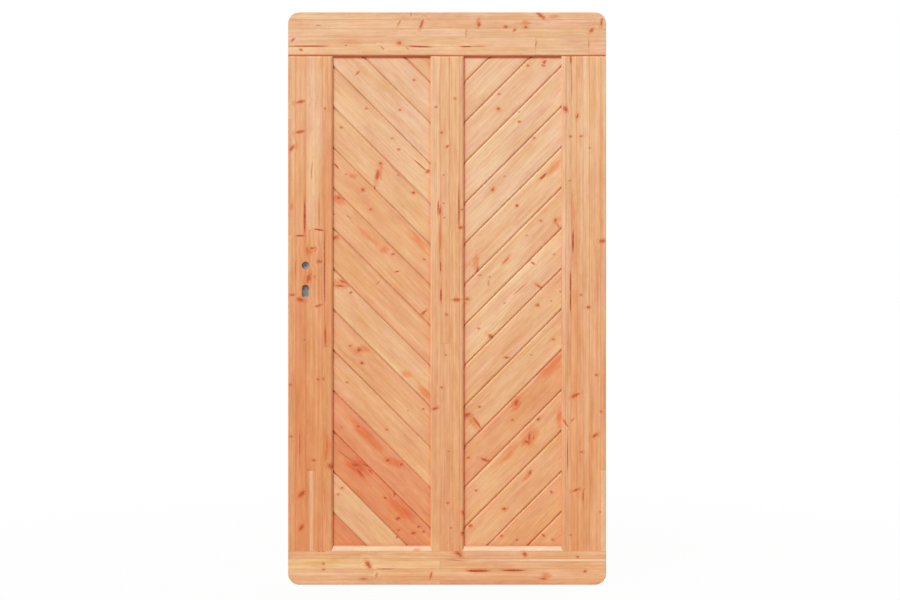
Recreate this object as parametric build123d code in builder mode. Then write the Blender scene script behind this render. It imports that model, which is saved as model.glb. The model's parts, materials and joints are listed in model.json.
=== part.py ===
"""A wooden garden gate leaf: a grooved frame of five members round two panels of diagonal boards.

The leaf hangs from its right-hand edge. The origin is on that edge, at mid height and mid
thickness. +X points out of the hinge edge, -Y faces the viewer and +Z is up. Lengths are in mm.
"""

from build123d import *
from math import ceil, cos, floor, radians, sin
import os

# The leaf as a whole
leaf_width = 1000.0
leaf_height = 1800.0
leaf_thickness = 44.0
corner_radius = 35.0
edge_rounding = 3.0

# The five frame members
stile_width = 140.0
middle_stile_width = 104.0
top_rail_height = 138.0
bottom_rail_height = 122.0
joint_chamfer = 4.0  # softens the edges where members and panels meet
rain_slope_height = 16.0  # the bottom rail's sloping top, which sheds water
rain_slope_land = 2.0  # the narrow flat between the slope and the boards

# The groove that runs round the inside of the frame, and what is let into it
groove_depth = 15.0
board_tuck = 12.0  # how far a board's end reaches into the groove
board_play = 0.2  # free space on each face of a board in the groove
tenon_length = 60.0
mortise_gap = 0.5  # free space at the ends and sides of a tenon

# The diagonal boards, tongued and grooved, with a V at each joint
board_thickness = 20.0
board_cover = 90.3  # from joint to joint, square to the board
board_angle = 45.0  # slope of the boards
board_v = 5.0
board_joint_gap = 1.0
tongue_thickness = 6.0
tongue_length = 7.0
tongue_play = 0.2
tongue_end_gap = 1.0
joint_shift = -9.0  # from the leaf's centre to the nearest joint, square to the boards
least_board = 12.0  # a narrower strip in a corner isn't worth a board

# The lock, let into the left-hand stile
spindle_height = 1004.0  # above the foot of the leaf
backset = 55.0  # from the leaf's edge to the spindle
key_drop = 72.0  # from the spindle down to the key
handle_hole_diameter = 24.0
key_hole_width = 23.0
key_hole_drop = 28.0  # from the key down to the foot of its hole
key_hole_corner = 7.0
face_plate_width = 20.0
face_plate_thickness = 3.0
face_plate_play = 0.2
face_plate_ear = 35.0  # how far the plate runs on past each end of the case
case_height = 165.0
case_depth = 85.0
case_thickness = 16.0
case_wall = 1.5
case_rise = 50.0  # from the spindle up to the top of the case
case_play = 0.3
follower_diameter = 18.0
follower_web = 2.0  # closes the middle of the square hole, so each handle has its own spindle
spindle_square = 8.1
turning_play = 0.15
latch_height = 30.0
latch_thickness = 12.0
latch_length = 40.0
latch_slope = 11.0  # length of the nose's sloping face
latch_tip = 3.0
bolt_height = 36.0
bolt_thickness = 10.0
bolt_length = 40.0
bolt_drop = 46.0  # from the spindle down to the middle of the bolt
sliding_play = 0.25
blank_diameter = 17.0
blank_neck = 10.0
blank_drop = 24.5  # from the key down to the foot of the blank
blank_screw_drop = 17.0  # from the key down to the screw that holds the blank
blank_screw_diameter = 5.0
blank_screw_bite = 3.0
screw_inset = 12.0  # from each end of the face plate to its screw
screw_diameter = 4.5
screw_head_diameter = 8.0
screw_length = 32.0
screw_play = 0.05
driver_slot_width = 1.1
driver_slot_length = 4.6
driver_slot_depth = 1.2

# What follows from those sizes
bottom = -leaf_height / 2
top = leaf_height / 2
left_edge = -leaf_width
leaf_centre = -leaf_width / 2
half_thickness = leaf_thickness / 2
half_groove = board_thickness / 2 + board_play
top_shoulder = top - top_rail_height
bottom_crest = bottom + bottom_rail_height
bottom_shoulder = bottom_crest - rain_slope_height
slope_run = half_thickness - half_groove - rain_slope_land
middle_left = leaf_centre - middle_stile_width / 2
outer_tenon = stile_width - groove_depth
middle_tenon = middle_stile_width - 2 * groove_depth
panel_foot = bottom_crest - groove_depth
panel_head = top_shoulder + board_tuck
spindle_z = bottom + spindle_height
spindle_x = left_edge + backset
key_z = spindle_z - key_drop
case_front = left_edge + face_plate_thickness
case_middle_x = case_front + case_depth / 2
case_middle_z = spindle_z + case_rise - case_height / 2
face_plate_height = case_height + 2 * face_plate_ear
bolt_z = spindle_z - bolt_drop
blank_screw_z = key_z - blank_screw_drop
screw_spread = face_plate_height / 2 - screw_inset
screw_heights = (case_middle_z + screw_spread, case_middle_z - screw_spread)
overcut = 5.0  # how far a cutting shape runs past the wood

# Each tenon's left side and width
tenons = (
    (left_edge, outer_tenon),
    (middle_left + groove_depth, middle_tenon),
    (-outer_tenon, outer_tenon),
)

os.makedirs("parts", exist_ok=True)


def finish(built, name):
    """Labels a finished piece and writes it."""
    built.part.label = name
    export_step(built.part, f"parts/{name}.step")
    return built.part


def outer_edges(built, inner_side):
    """The edges of the front and back faces, apart from those on the side towards the panels."""
    edges = built.faces().filter_by(Axis.Y).edges()
    inner = edges.filter_by(Axis.X).group_by(Axis.Z)[inner_side]
    return [edge for edge in edges if edge not in inner]


def cut_mortises(shoulder, direction):
    """The slots that take the stiles' tenons. direction is 1 for slots that run up, -1 for down."""
    depth = tenon_length + mortise_gap
    for start, width in tenons:
        with Locations((start + width / 2, 0, shoulder + direction * depth / 2)):
            Box(width + 2 * mortise_gap, 2 * half_groove, depth, mode=Mode.SUBTRACT)


# The top rail
def make_top_rail():
    """The full-width rail over the stiles, with two rounded upper corners."""
    middle = top - top_rail_height / 2
    with BuildPart() as rail:
        with BuildSketch(Plane.XZ) as outline:
            with Locations((leaf_centre, middle)):
                Rectangle(leaf_width, top_rail_height)
            fillet(outline.vertices().group_by(Axis.Y)[-1], radius=corner_radius)
        extrude(amount=half_thickness, both=True)
        fillet(outer_edges(rail, 0), radius=edge_rounding)
        with BuildSketch(Plane.YZ.offset(left_edge - overcut)) as softened:
            with BuildLine():
                Polyline(
                    (-half_thickness - overcut, top_shoulder - overcut),
                    (-half_thickness - overcut, top_shoulder + joint_chamfer + overcut),
                    (-half_thickness + joint_chamfer, top_shoulder),
                    (-half_thickness + joint_chamfer, top_shoulder - overcut),
                    close=True,
                )
            make_face()
            mirror(about=Plane.YZ)
        extrude(amount=leaf_width + 2 * overcut, mode=Mode.SUBTRACT)
        with Locations((leaf_centre, 0, top_shoulder + groove_depth / 2)):
            Box(leaf_width, 2 * half_groove, groove_depth, mode=Mode.SUBTRACT)
        cut_mortises(top_shoulder, 1)
    return finish(rail, "top_rail")


# The bottom rail
def make_bottom_rail():
    """The full-width rail under the stiles. Its top slopes down to both faces to shed rain."""
    middle = bottom + bottom_rail_height / 2
    slope_grade = slope_run / rain_slope_height
    with BuildPart() as rail:
        with BuildSketch(Plane.XZ) as outline:
            with Locations((leaf_centre, middle)):
                Rectangle(leaf_width, bottom_rail_height)
            fillet(outline.vertices().group_by(Axis.Y)[0], radius=corner_radius)
        extrude(amount=half_thickness, both=True)
        fillet(outer_edges(rail, -1), radius=edge_rounding)
        with BuildSketch(Plane.YZ.offset(left_edge - overcut)) as slope:
            with BuildLine():
                Polyline(
                    (-half_thickness, bottom_shoulder),
                    (-half_thickness + slope_run, bottom_crest),
                    (-half_thickness + slope_run + overcut * slope_grade, bottom_crest + overcut),
                    (-half_thickness - overcut, bottom_crest + overcut),
                    (-half_thickness - overcut, bottom_shoulder),
                    close=True,
                )
            make_face()
            mirror(about=Plane.YZ)
        extrude(amount=leaf_width + 2 * overcut, mode=Mode.SUBTRACT)
        with Locations((leaf_centre, 0, bottom_crest - groove_depth / 2)):
            Box(leaf_width, 2 * half_groove, groove_depth, mode=Mode.SUBTRACT)
        cut_mortises(bottom_crest, -1)
    return finish(rail, "bottom_rail")


# The stiles
def stile_blank(left, width, grooved_sides, rounded_side):
    """A stile with its long edges worked and its ends cut to tenons, but with no holes yet.

    grooved_sides are the sides that hold boards, and rounded_side is the outer one, if any:
    0 is the left side and -1 the right one.
    """
    foot = bottom_crest - tenon_length
    head = top_shoulder + tenon_length
    side_x = {0: left, -1: left + width}
    with BuildPart() as stile:
        with BuildSketch(Plane.XY.offset(foot)) as section:
            with Locations((left + width / 2, 0)):
                Rectangle(width, leaf_thickness)
            for side in grooved_sides:
                chamfer(section.vertices().group_by(Axis.X)[side], length=joint_chamfer)
            if rounded_side is not None:
                fillet(section.vertices().group_by(Axis.X)[rounded_side], radius=edge_rounding)
            for side in grooved_sides:
                with Locations((side_x[side], 0)):
                    Rectangle(2 * groove_depth, 2 * half_groove, mode=Mode.SUBTRACT)
        extrude(amount=head - foot)
        with BuildSketch(Plane.YZ.offset(left - overcut)) as head_cut:
            with BuildLine():
                Polyline(
                    (-half_groove, head + overcut),
                    (-half_groove, top_shoulder),
                    (-half_thickness + joint_chamfer, top_shoulder),
                    (-half_thickness - overcut, top_shoulder - joint_chamfer - overcut),
                    (-half_thickness - overcut, head + overcut),
                    close=True,
                )
            make_face()
            mirror(about=Plane.YZ)
        extrude(amount=width + 2 * overcut, mode=Mode.SUBTRACT)
        with BuildSketch(Plane.YZ.offset(left - overcut)) as foot_cut:
            with BuildLine():
                Polyline(
                    (-half_groove, foot - overcut),
                    (-half_groove, bottom_crest),
                    (-half_thickness + slope_run, bottom_crest),
                    (-half_thickness, bottom_shoulder),
                    (-half_thickness - overcut, bottom_shoulder),
                    (-half_thickness - overcut, foot - overcut),
                    close=True,
                )
            make_face()
            mirror(about=Plane.YZ)
        extrude(amount=width + 2 * overcut, mode=Mode.SUBTRACT)
    return stile


def make_hinge_stile():
    """The right-hand stile, whose outer edge takes the hinges."""
    return finish(stile_blank(-stile_width, stile_width, (0,), -1), "hinge_stile")


def make_middle_stile():
    """The stile between the two panels, grooved on both sides."""
    return finish(stile_blank(middle_left, middle_stile_width, (0, -1), None), "middle_stile")


def make_lock_stile():
    """The left-hand stile, with the pocket, the plate's rebate and the holes for the lock."""
    blank = stile_blank(left_edge, stile_width, (-1,), 0)
    pocket_depth = face_plate_thickness + case_depth + case_play
    with BuildPart() as stile:
        add(blank.part)
        with Locations((left_edge + pocket_depth / 2, 0, case_middle_z)):
            Box(
                pocket_depth,
                case_thickness + 2 * case_play,
                case_height + 2 * case_play,
                mode=Mode.SUBTRACT,
            )
        with BuildSketch(Plane.YZ.offset(left_edge)) as rebate:
            with Locations((0, case_middle_z)):
                SlotOverall(
                    face_plate_height + 2 * face_plate_play,
                    face_plate_width + 2 * face_plate_play,
                    rotation=90,
                )
        extrude(amount=face_plate_thickness, mode=Mode.SUBTRACT)
        with BuildSketch(Plane.YZ.offset(left_edge)) as screw_holes:
            with Locations(*[(0, z) for z in screw_heights]):
                Circle(screw_diameter / 2 + screw_play)
        extrude(amount=screw_length + mortise_gap, mode=Mode.SUBTRACT)
        with BuildSketch(Plane.XZ) as face_holes:
            with Locations((spindle_x, spindle_z)):
                Circle(handle_hole_diameter / 2)
            with Locations((spindle_x, key_z)):
                Circle(key_hole_width / 2)
            with Locations((spindle_x, key_z - key_hole_drop / 2)):
                RectangleRounded(key_hole_width, key_hole_drop, key_hole_corner)
            with Locations((spindle_x, key_z - key_hole_drop / 4)):
                Rectangle(key_hole_width, key_hole_drop / 2)
        extrude(amount=half_thickness + overcut, both=True, mode=Mode.SUBTRACT)
    return finish(stile, "lock_stile")


# The boards
def board_section(low, high):
    """The outline of a board across its length: groove below, tongue above, a V on each edge."""
    face = board_thickness / 2
    groove = tongue_thickness / 2 + tongue_play
    tongue = tongue_thickness / 2
    groove_end = low + tongue_length - board_joint_gap + tongue_end_gap
    tongue_end = high + tongue_length
    half = [
        (groove_end, groove),
        (low, groove),
        (low, face - board_v),
        (low + board_v, face),
        (high - board_v, face),
        (high, face - board_v),
        (high, tongue),
        (tongue_end, tongue),
    ]
    return half + [(across, -depth) for across, depth in reversed(half)]


def make_boards(side, panel_left, panel_right):
    """The boards of one panel, from the foot up. side is -1 for the left panel, 1 for the right.

    The boards run down towards the middle of the leaf from both sides.
    """
    slope = radians(board_angle)
    across = Vector(-side * sin(slope), 0, cos(slope))
    along = Vector(cos(slope), 0, side * sin(slope))
    lowest_x = panel_left if side < 0 else panel_right
    highest_x = panel_right if side < 0 else panel_left
    lowest = across.dot(Vector(lowest_x - leaf_centre, 0, panel_foot))
    highest = across.dot(Vector(highest_x - leaf_centre, 0, panel_head))
    first = floor((lowest + least_board - joint_shift) / board_cover)
    last = ceil((highest - least_board - joint_shift) / board_cover)
    panel_width = panel_right - panel_left
    panel_height = panel_head - panel_foot
    reach = panel_width + panel_height
    word = "left" if side < 0 else "right"
    boards = []
    for number, step in enumerate(range(first, last), start=1):
        low = joint_shift + step * board_cover + board_joint_gap / 2
        high = joint_shift + (step + 1) * board_cover - board_joint_gap / 2
        with BuildPart() as board:
            with BuildSketch(Plane((leaf_centre, 0, 0), x_dir=across, z_dir=along)) as section:
                with BuildLine():
                    Polyline(*board_section(low, high), close=True)
                make_face()
            extrude(amount=reach, both=True)
            with Locations(
                ((panel_left + panel_right) / 2, 0, (panel_foot + panel_head) / 2)
            ):
                Box(panel_width, board_thickness, panel_height, mode=Mode.INTERSECT)
        boards.append(finish(board, f"{word}_board_{number:02d}"))
    return boards


# The lock
def cylinder_outline(play):
    """The outline of a lock cylinder: a round head over a narrow neck."""
    with Locations((spindle_x, key_z)):
        Circle(blank_diameter / 2 + play)
    neck_foot = key_z - blank_drop - play
    with Locations((spindle_x, (key_z + neck_foot) / 2)):
        Rectangle(blank_neck + 2 * play, key_z - neck_foot)


def make_lock_case():
    """The sheet steel box that holds the works, open towards the face plate."""
    with BuildPart() as case:
        with Locations((case_middle_x, 0, case_middle_z)):
            Box(case_depth, case_thickness, case_height)
        with Locations((case_middle_x - case_wall / 2, 0, case_middle_z)):
            Box(
                case_depth - case_wall,
                case_thickness - 2 * case_wall,
                case_height - 2 * case_wall,
                mode=Mode.SUBTRACT,
            )
        with BuildSketch(Plane.XZ) as holes:
            with Locations((spindle_x, spindle_z)):
                Circle(follower_diameter / 2 + turning_play)
            cylinder_outline(sliding_play)
        extrude(amount=case_thickness / 2, both=True, mode=Mode.SUBTRACT)
    return finish(case, "lock_case")


def make_face_plate():
    """The round-ended plate on the leaf's edge, with openings for the latch and the bolt."""
    with BuildPart() as plate:
        with BuildSketch(Plane.YZ.offset(left_edge)) as outline:
            with Locations((0, case_middle_z)):
                SlotOverall(face_plate_height, face_plate_width, rotation=90)
            with Locations((0, spindle_z)):
                Rectangle(
                    latch_thickness + 2 * sliding_play,
                    latch_height + 2 * sliding_play,
                    mode=Mode.SUBTRACT,
                )
            with Locations((0, bolt_z)):
                Rectangle(
                    bolt_thickness + 2 * sliding_play,
                    bolt_height + 2 * sliding_play,
                    mode=Mode.SUBTRACT,
                )
        extrude(amount=face_plate_thickness)
        countersink(screw_heights[0], screw_diameter, screw_play, Mode.SUBTRACT)
        countersink(screw_heights[1], screw_diameter, screw_play, Mode.SUBTRACT)
        countersink(blank_screw_z, blank_screw_diameter, screw_play, Mode.SUBTRACT)
    return finish(plate, "lock_face_plate")


def countersink(height, shank_diameter, play, mode):
    """A cone through the face plate, from a screw's head at the leaf's edge to its shank."""
    with BuildSketch(Plane.YZ.offset(left_edge)) as mouth:
        with Locations((0, height)):
            Circle(screw_head_diameter / 2 + play)
    with BuildSketch(Plane.YZ.offset(left_edge + face_plate_thickness)) as throat:
        with Locations((0, height)):
            Circle(shank_diameter / 2 + play)
    loft(sections=[mouth.sketch, throat.sketch], mode=mode)


def make_screw(name, height, shank_diameter, length):
    """A countersunk screw, driven in square to the leaf's edge, with a crossed slot."""
    with BuildPart() as screw:
        countersink(height, shank_diameter, 0, Mode.ADD)
        with BuildSketch(Plane.YZ.offset(left_edge + face_plate_thickness)):
            with Locations((0, height)):
                Circle(shank_diameter / 2)
        extrude(amount=length - face_plate_thickness)
        with BuildSketch(Plane.YZ.offset(left_edge)):
            with Locations((0, height)):
                Rectangle(driver_slot_width, driver_slot_length)
                Rectangle(driver_slot_length, driver_slot_width)
        extrude(amount=driver_slot_depth, mode=Mode.SUBTRACT)
    return finish(screw, name)


def make_latch_bolt():
    """The sprung latch, drawn back flush. Its nose slopes so that the gate can be pushed shut."""
    half = latch_thickness / 2
    with BuildPart() as latch:
        with BuildSketch(Plane.XY.offset(spindle_z - latch_height / 2)) as plan:
            with BuildLine():
                Polyline(
                    (left_edge + latch_length, -half),
                    (left_edge + latch_slope, -half),
                    (left_edge, half - latch_tip),
                    (left_edge, half),
                    (left_edge + latch_length, half),
                    close=True,
                )
            make_face()
        extrude(amount=latch_height)
    return finish(latch, "latch_bolt")


def make_dead_bolt():
    """The bolt that the key throws, drawn back flush with the face plate."""
    with BuildPart() as bolt:
        with Locations((left_edge + bolt_length / 2, 0, bolt_z)):
            Box(bolt_length, bolt_thickness, bolt_height)
    return finish(bolt, "dead_bolt")


def make_follower():
    """The hub that the handle's square spindle turns."""
    with BuildPart() as follower:
        with BuildSketch(Plane.XZ) as outline:
            with Locations((spindle_x, spindle_z)):
                Circle(follower_diameter / 2)
                Rectangle(spindle_square, spindle_square, mode=Mode.SUBTRACT)
        extrude(amount=case_thickness / 2, both=True)
        with BuildSketch(Plane.XZ) as web:
            with Locations((spindle_x, spindle_z)):
                Rectangle(spindle_square, spindle_square)
        extrude(amount=follower_web / 2, both=True)
    return finish(follower, "lock_follower")


def make_cylinder_blank():
    """The plain cast block that fills the place of the lock's cylinder until one is fitted."""
    screw_end = spindle_x - blank_neck / 2 + blank_screw_bite
    with BuildPart() as blank:
        with BuildSketch(Plane.XZ) as outline:
            cylinder_outline(0)
        extrude(amount=case_thickness / 2, both=True)
        with BuildSketch(Plane.YZ.offset(case_front)) as screw_hole:
            with Locations((0, blank_screw_z)):
                Circle(blank_screw_diameter / 2 + screw_play)
        extrude(amount=screw_end - case_front + screw_play, mode=Mode.SUBTRACT)
    return finish(blank, "cylinder_blank")


def make_lock():
    """All the pieces of the lock."""
    blank_screw_length = backset - blank_neck / 2 + blank_screw_bite
    return [
        make_lock_case(),
        make_face_plate(),
        make_latch_bolt(),
        make_dead_bolt(),
        make_follower(),
        make_cylinder_blank(),
        make_screw("blank_screw", blank_screw_z, blank_screw_diameter, blank_screw_length),
        make_screw("face_plate_screw_top", screw_heights[0], screw_diameter, screw_length),
        make_screw("face_plate_screw_foot", screw_heights[1], screw_diameter, screw_length),
    ]


# The whole leaf
left_panel = (left_edge + stile_width - board_tuck, middle_left + board_tuck)
right_panel = (middle_left + middle_stile_width - board_tuck, board_tuck - stile_width)
pieces = [
    make_top_rail(),
    make_bottom_rail(),
    make_lock_stile(),
    make_middle_stile(),
    make_hinge_stile(),
    *make_boards(-1, *left_panel),
    *make_boards(1, *right_panel),
    *make_lock(),
]
print(len(pieces), "pieces")
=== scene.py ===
"""A wooden garden gate leaf.

Lengths are in metres. The hinge edge is at x = 0 and the lock edge at x = -1, the front looks
along -y, and z is up, with the leaf's foot on the floor at z = -0.9.
"""
import json
import math
import bpy
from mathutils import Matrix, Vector

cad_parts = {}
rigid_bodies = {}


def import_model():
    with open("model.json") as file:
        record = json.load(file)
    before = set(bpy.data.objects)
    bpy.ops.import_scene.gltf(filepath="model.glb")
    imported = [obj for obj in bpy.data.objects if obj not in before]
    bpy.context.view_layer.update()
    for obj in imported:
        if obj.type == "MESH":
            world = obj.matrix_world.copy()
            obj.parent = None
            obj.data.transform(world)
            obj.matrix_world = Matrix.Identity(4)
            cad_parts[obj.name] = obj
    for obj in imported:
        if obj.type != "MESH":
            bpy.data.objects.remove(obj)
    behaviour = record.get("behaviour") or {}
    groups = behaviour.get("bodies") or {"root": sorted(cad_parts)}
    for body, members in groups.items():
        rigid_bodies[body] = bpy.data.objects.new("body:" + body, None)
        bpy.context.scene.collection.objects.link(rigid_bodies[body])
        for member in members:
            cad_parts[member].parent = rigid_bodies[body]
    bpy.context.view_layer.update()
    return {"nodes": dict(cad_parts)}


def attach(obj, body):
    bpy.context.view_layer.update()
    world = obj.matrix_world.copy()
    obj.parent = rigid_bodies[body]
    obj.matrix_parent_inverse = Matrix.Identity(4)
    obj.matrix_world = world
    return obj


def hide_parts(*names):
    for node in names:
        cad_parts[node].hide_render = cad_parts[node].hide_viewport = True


for leftover in list(bpy.data.objects):
    bpy.data.objects.remove(leftover)
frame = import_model()


# The stiles.
# Three uprights of planed larch, each glued up edge to edge from sticks that are finger-jointed end to
# end, so the tone changes from stick to stick. They stand between the rails on tenons and are oiled.
LEAF_LEFT, LEAF_FOOT = -1.0, -0.9
PHOTO_LEFT, PHOTO_FOOT = 288.08, 584.96
ACROSS_A_PIXEL, UP_A_PIXEL = 0.0031447, 0.0031423
# A mark reaches far past both faces, so it shows on the back as well.
THROUGH = 50.0


def leaf_x(pixel):
    """How far along the leaf a column of the picture lies."""
    return LEAF_LEFT + (pixel - PHOTO_LEFT) * ACROSS_A_PIXEL


def leaf_z(pixel):
    """How high on the leaf a line of the picture lies."""
    return LEAF_FOOT + (PHOTO_FOOT - pixel) * UP_A_PIXEL


def pigment(red, green, blue):
    """A colour of 0 to 255 as the shader takes it."""
    shares = [value / 255 for value in (red, green, blue)]
    return tuple(s / 12.92 if s <= 0.04045 else ((s + 0.055) / 1.055) ** 2.4 for s in shares) + (1.0,)


def add(tree, kind, feeds=(), **settings):
    """Puts a node in a tree and feeds its sockets with values or with other nodes' outputs."""
    node = tree.nodes.new(kind)
    for name, value in settings.items():
        setattr(node, name, value)
    for socket, value in dict(feeds).items():
        if isinstance(value, bpy.types.NodeSocket):
            tree.links.new(value, node.inputs[socket])
        else:
            node.inputs[socket].default_value = value
    return node


def maths(tree, operation, *values):
    return add(tree, "ShaderNodeMath", enumerate(values), operation=operation).outputs[0]


def vectors(tree, operation, *values):
    node = add(tree, "ShaderNodeVectorMath", enumerate(values), operation=operation)
    return node.outputs["Value" if operation == "LENGTH" else "Vector"]


def stretched(tree, vector, amount):
    """A vector times a number."""
    return add(tree, "ShaderNodeVectorMath", {0: vector, 3: amount}, operation="SCALE").outputs[0]


def fade(tree, value, start, end, at_start=1.0, at_end=0.0):
    """A number that eases from one value to another while another number goes from start to end."""
    feeds = {0: value, 1: start, 2: end, 3: at_start, 4: at_end}
    return add(tree, "ShaderNodeMapRange", feeds, interpolation_type="SMOOTHSTEP").outputs[0]


def blend(tree, share, under, over):
    """Two colours mixed."""
    return add(tree, "ShaderNodeMix", {0: share, 6: under, 7: over}, data_type="RGBA").outputs[2]


def speckle(tree, vector, scale, detail=2.0, roughness=0.5):
    """A noise about zero, with its own scale along, through and across the grain."""
    feeds = {"Vector": vectors(tree, "MULTIPLY", vector, scale), "Scale": 1.0, "Detail": detail,
             "Roughness": roughness}
    noise = add(tree, "ShaderNodeTexNoise", feeds)
    return maths(tree, "SUBTRACT", noise.outputs[0], 0.5)


def new_group(name, takes, gives):
    """An empty node group with named sockets."""
    group = bpy.data.node_groups.new(name, "ShaderNodeTree")
    for label, kind in takes:
        group.interface.new_socket(label, in_out="INPUT", socket_type="NodeSocket" + kind)
    for label, kind in gives:
        group.interface.new_socket(label, in_out="OUTPUT", socket_type="NodeSocket" + kind)
    return group, group.nodes.new("NodeGroupInput").outputs, group.nodes.new("NodeGroupOutput").inputs


def use_group(tree, group, feeds):
    """A node group in a tree, with its sockets fed."""
    node = add(tree, "ShaderNodeGroup", (), node_tree=group)
    for socket, value in feeds.items():
        if isinstance(value, bpy.types.NodeSocket):
            tree.links.new(value, node.inputs[socket])
        else:
            node.inputs[socket].default_value = value
    return node.outputs


def make_larch_grain():
    """Year rings round a pith that lies beside the stick, with fibres, streaks and soft clouds."""
    group, takes, gives = new_group(
        "Larch grain",
        [("Grain", "Vector"), ("Number", "Float"), ("Tone", "Color"), ("Streaks", "Float")],
        [("Colour", "Color"), ("Height", "Float"), ("Roughness", "Float")])
    own = add(group, "ShaderNodeTexWhiteNoise", {"W": takes["Number"]}, noise_dimensions="1D")
    own = own.outputs["Color"]
    place = vectors(group, "ADD", takes["Grain"], vectors(group, "MULTIPLY", own, (7.0, 3.0, 5.0)))
    chance = add(group, "ShaderNodeSeparateXYZ", {0: own}).outputs
    here = add(group, "ShaderNodeSeparateXYZ", {0: takes["Grain"]}).outputs
    # The rings.
    wander = speckle(group, place, (2.2, 10.0, 10.0), 3.0)
    ripple = speckle(group, place, (7.0, 55.0, 55.0))
    pith_across = maths(group, "MULTIPLY_ADD", chance[0], 0.11, -0.055)
    pith_depth = maths(group, "MULTIPLY_ADD", chance[1], 0.06, 0.03)
    across = maths(group, "SUBTRACT", here[2], pith_across)
    depth = maths(group, "ADD", here[1], pith_depth)
    radius = maths(group, "SQRT", maths(group, "ADD", maths(group, "MULTIPLY", across, across),
                                        maths(group, "MULTIPLY", depth, depth)))
    radius = maths(group, "MULTIPLY_ADD", wander, 0.050, radius)
    radius = maths(group, "MULTIPLY_ADD", ripple, 0.011, radius)
    radius = maths(group, "MULTIPLY_ADD", here[0], 0.012, radius)
    year = maths(group, "FRACT", maths(group, "DIVIDE", radius, 0.0048))
    late = maths(group, "MULTIPLY", fade(group, year, 0.35, 0.9, 0.0, 1.0), fade(group, year, 0.93, 1.0))
    # The rings show in some places and fade in others.
    shows = fade(group, speckle(group, place, (5.0, 26.0, 26.0)), -0.10, 0.20, 0.25, 1.0)
    late = maths(group, "MULTIPLY", late, shows)
    lines = maths(group, "MULTIPLY_ADD", takes["Streaks"], 0.14, 0.10)
    dark = vectors(group, "MULTIPLY", takes["Tone"], (0.84, 0.68, 0.54))
    colour = blend(group, maths(group, "MULTIPLY", late, lines), takes["Tone"], dark)
    # The clouds and streaks change how much oil the wood took: more of it is redder, less is yellower.
    fibre = speckle(group, place, (7.0, 330.0, 330.0), 3.0, 0.6)
    streak = speckle(group, place, (1.5, 130.0, 130.0), 2.0)
    cloud = speckle(group, place, (6.0, 24.0, 24.0), 2.0)
    mottle = speckle(group, place, (22.0, 80.0, 80.0), 3.0, 0.6)
    hue = speckle(group, place, (7.0, 28.0, 32.0), 2.0)
    dry = maths(group, "MULTIPLY", cloud, 0.80)
    dry = maths(group, "MULTIPLY_ADD", mottle, 0.62, dry)
    dry = maths(group, "MULTIPLY_ADD", streak, takes["Streaks"], dry)
    dry = maths(group, "MULTIPLY_ADD", fibre, 0.25, dry)
    tint = add(group, "ShaderNodeCombineXYZ", {
        0: maths(group, "MULTIPLY_ADD", dry, 0.27, 1.0),
        1: maths(group, "MULTIPLY_ADD", dry, 0.72, maths(group, "MULTIPLY_ADD", hue, -0.12, 1.0)),
        2: maths(group, "MULTIPLY_ADD", dry, 1.02, maths(group, "MULTIPLY_ADD", hue, 0.34, 1.0)),
    }).outputs[0]
    colour = vectors(group, "MULTIPLY", colour, tint)
    # A few short dark fibres.
    dash = fade(group, speckle(group, place, (55.0, 420.0, 420.0), 1.0), 0.16, 0.28, 0.0, 0.34)
    colour = blend(group, dash, colour, vectors(group, "MULTIPLY", colour, (0.72, 0.52, 0.42)))
    light = maths(group, "MULTIPLY_ADD", fibre, 0.30, 1.0)
    group.links.new(stretched(group, colour, light), gives["Colour"])
    height = maths(group, "MULTIPLY_ADD", late, 0.35, maths(group, "MULTIPLY", fibre, 1.0))
    group.links.new(height, gives["Height"])
    rough = maths(group, "MULTIPLY_ADD", fibre, 0.25, maths(group, "MULTIPLY_ADD", late, -0.07, 0.56))
    group.links.new(rough, gives["Roughness"])
    return group


def make_knot():
    """A knot, crack or red patch that goes through the wood, and bends the grain round itself."""
    group, takes, gives = new_group(
        "Knot",
        [("Grain", "Vector"), ("Marks", "Vector"), ("Raggedness", "Float"), ("Centre", "Vector"),
         ("Turn", "Vector"), ("Size", "Vector"), ("Kind", "Vector"), ("Swirl", "Float"), ("Spread", "Float")],
        [("Grain", "Vector"), ("Marks", "Vector")])
    feeds = {0: takes["Grain"], 1: takes["Centre"], 2: takes["Turn"], 3: takes["Size"]}
    local = add(group, "ShaderNodeMapping", feeds, vector_type="TEXTURE").outputs[0]
    reach = maths(group, "ADD", vectors(group, "LENGTH", local), takes["Raggedness"])
    core = fade(group, reach, 0.6, 1.15)
    halo = fade(group, reach, 0.3, takes["Spread"])
    own = add(group, "ShaderNodeCombineXYZ", {0: core, 1: halo, 2: core}).outputs[0]
    own = vectors(group, "MULTIPLY", own, takes["Kind"])
    group.links.new(vectors(group, "MAXIMUM", takes["Marks"], own), gives["Marks"])
    away = vectors(group, "SUBTRACT", takes["Centre"], takes["Grain"])
    away = vectors(group, "MULTIPLY", away, (0.15, 0.0, 1.0))
    near = maths(group, "MULTIPLY", fade(group, reach, 0.4, 3.6), takes["Swirl"])
    group.links.new(vectors(group, "ADD", takes["Grain"], stretched(group, away, near)), gives["Grain"])
    return group


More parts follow.
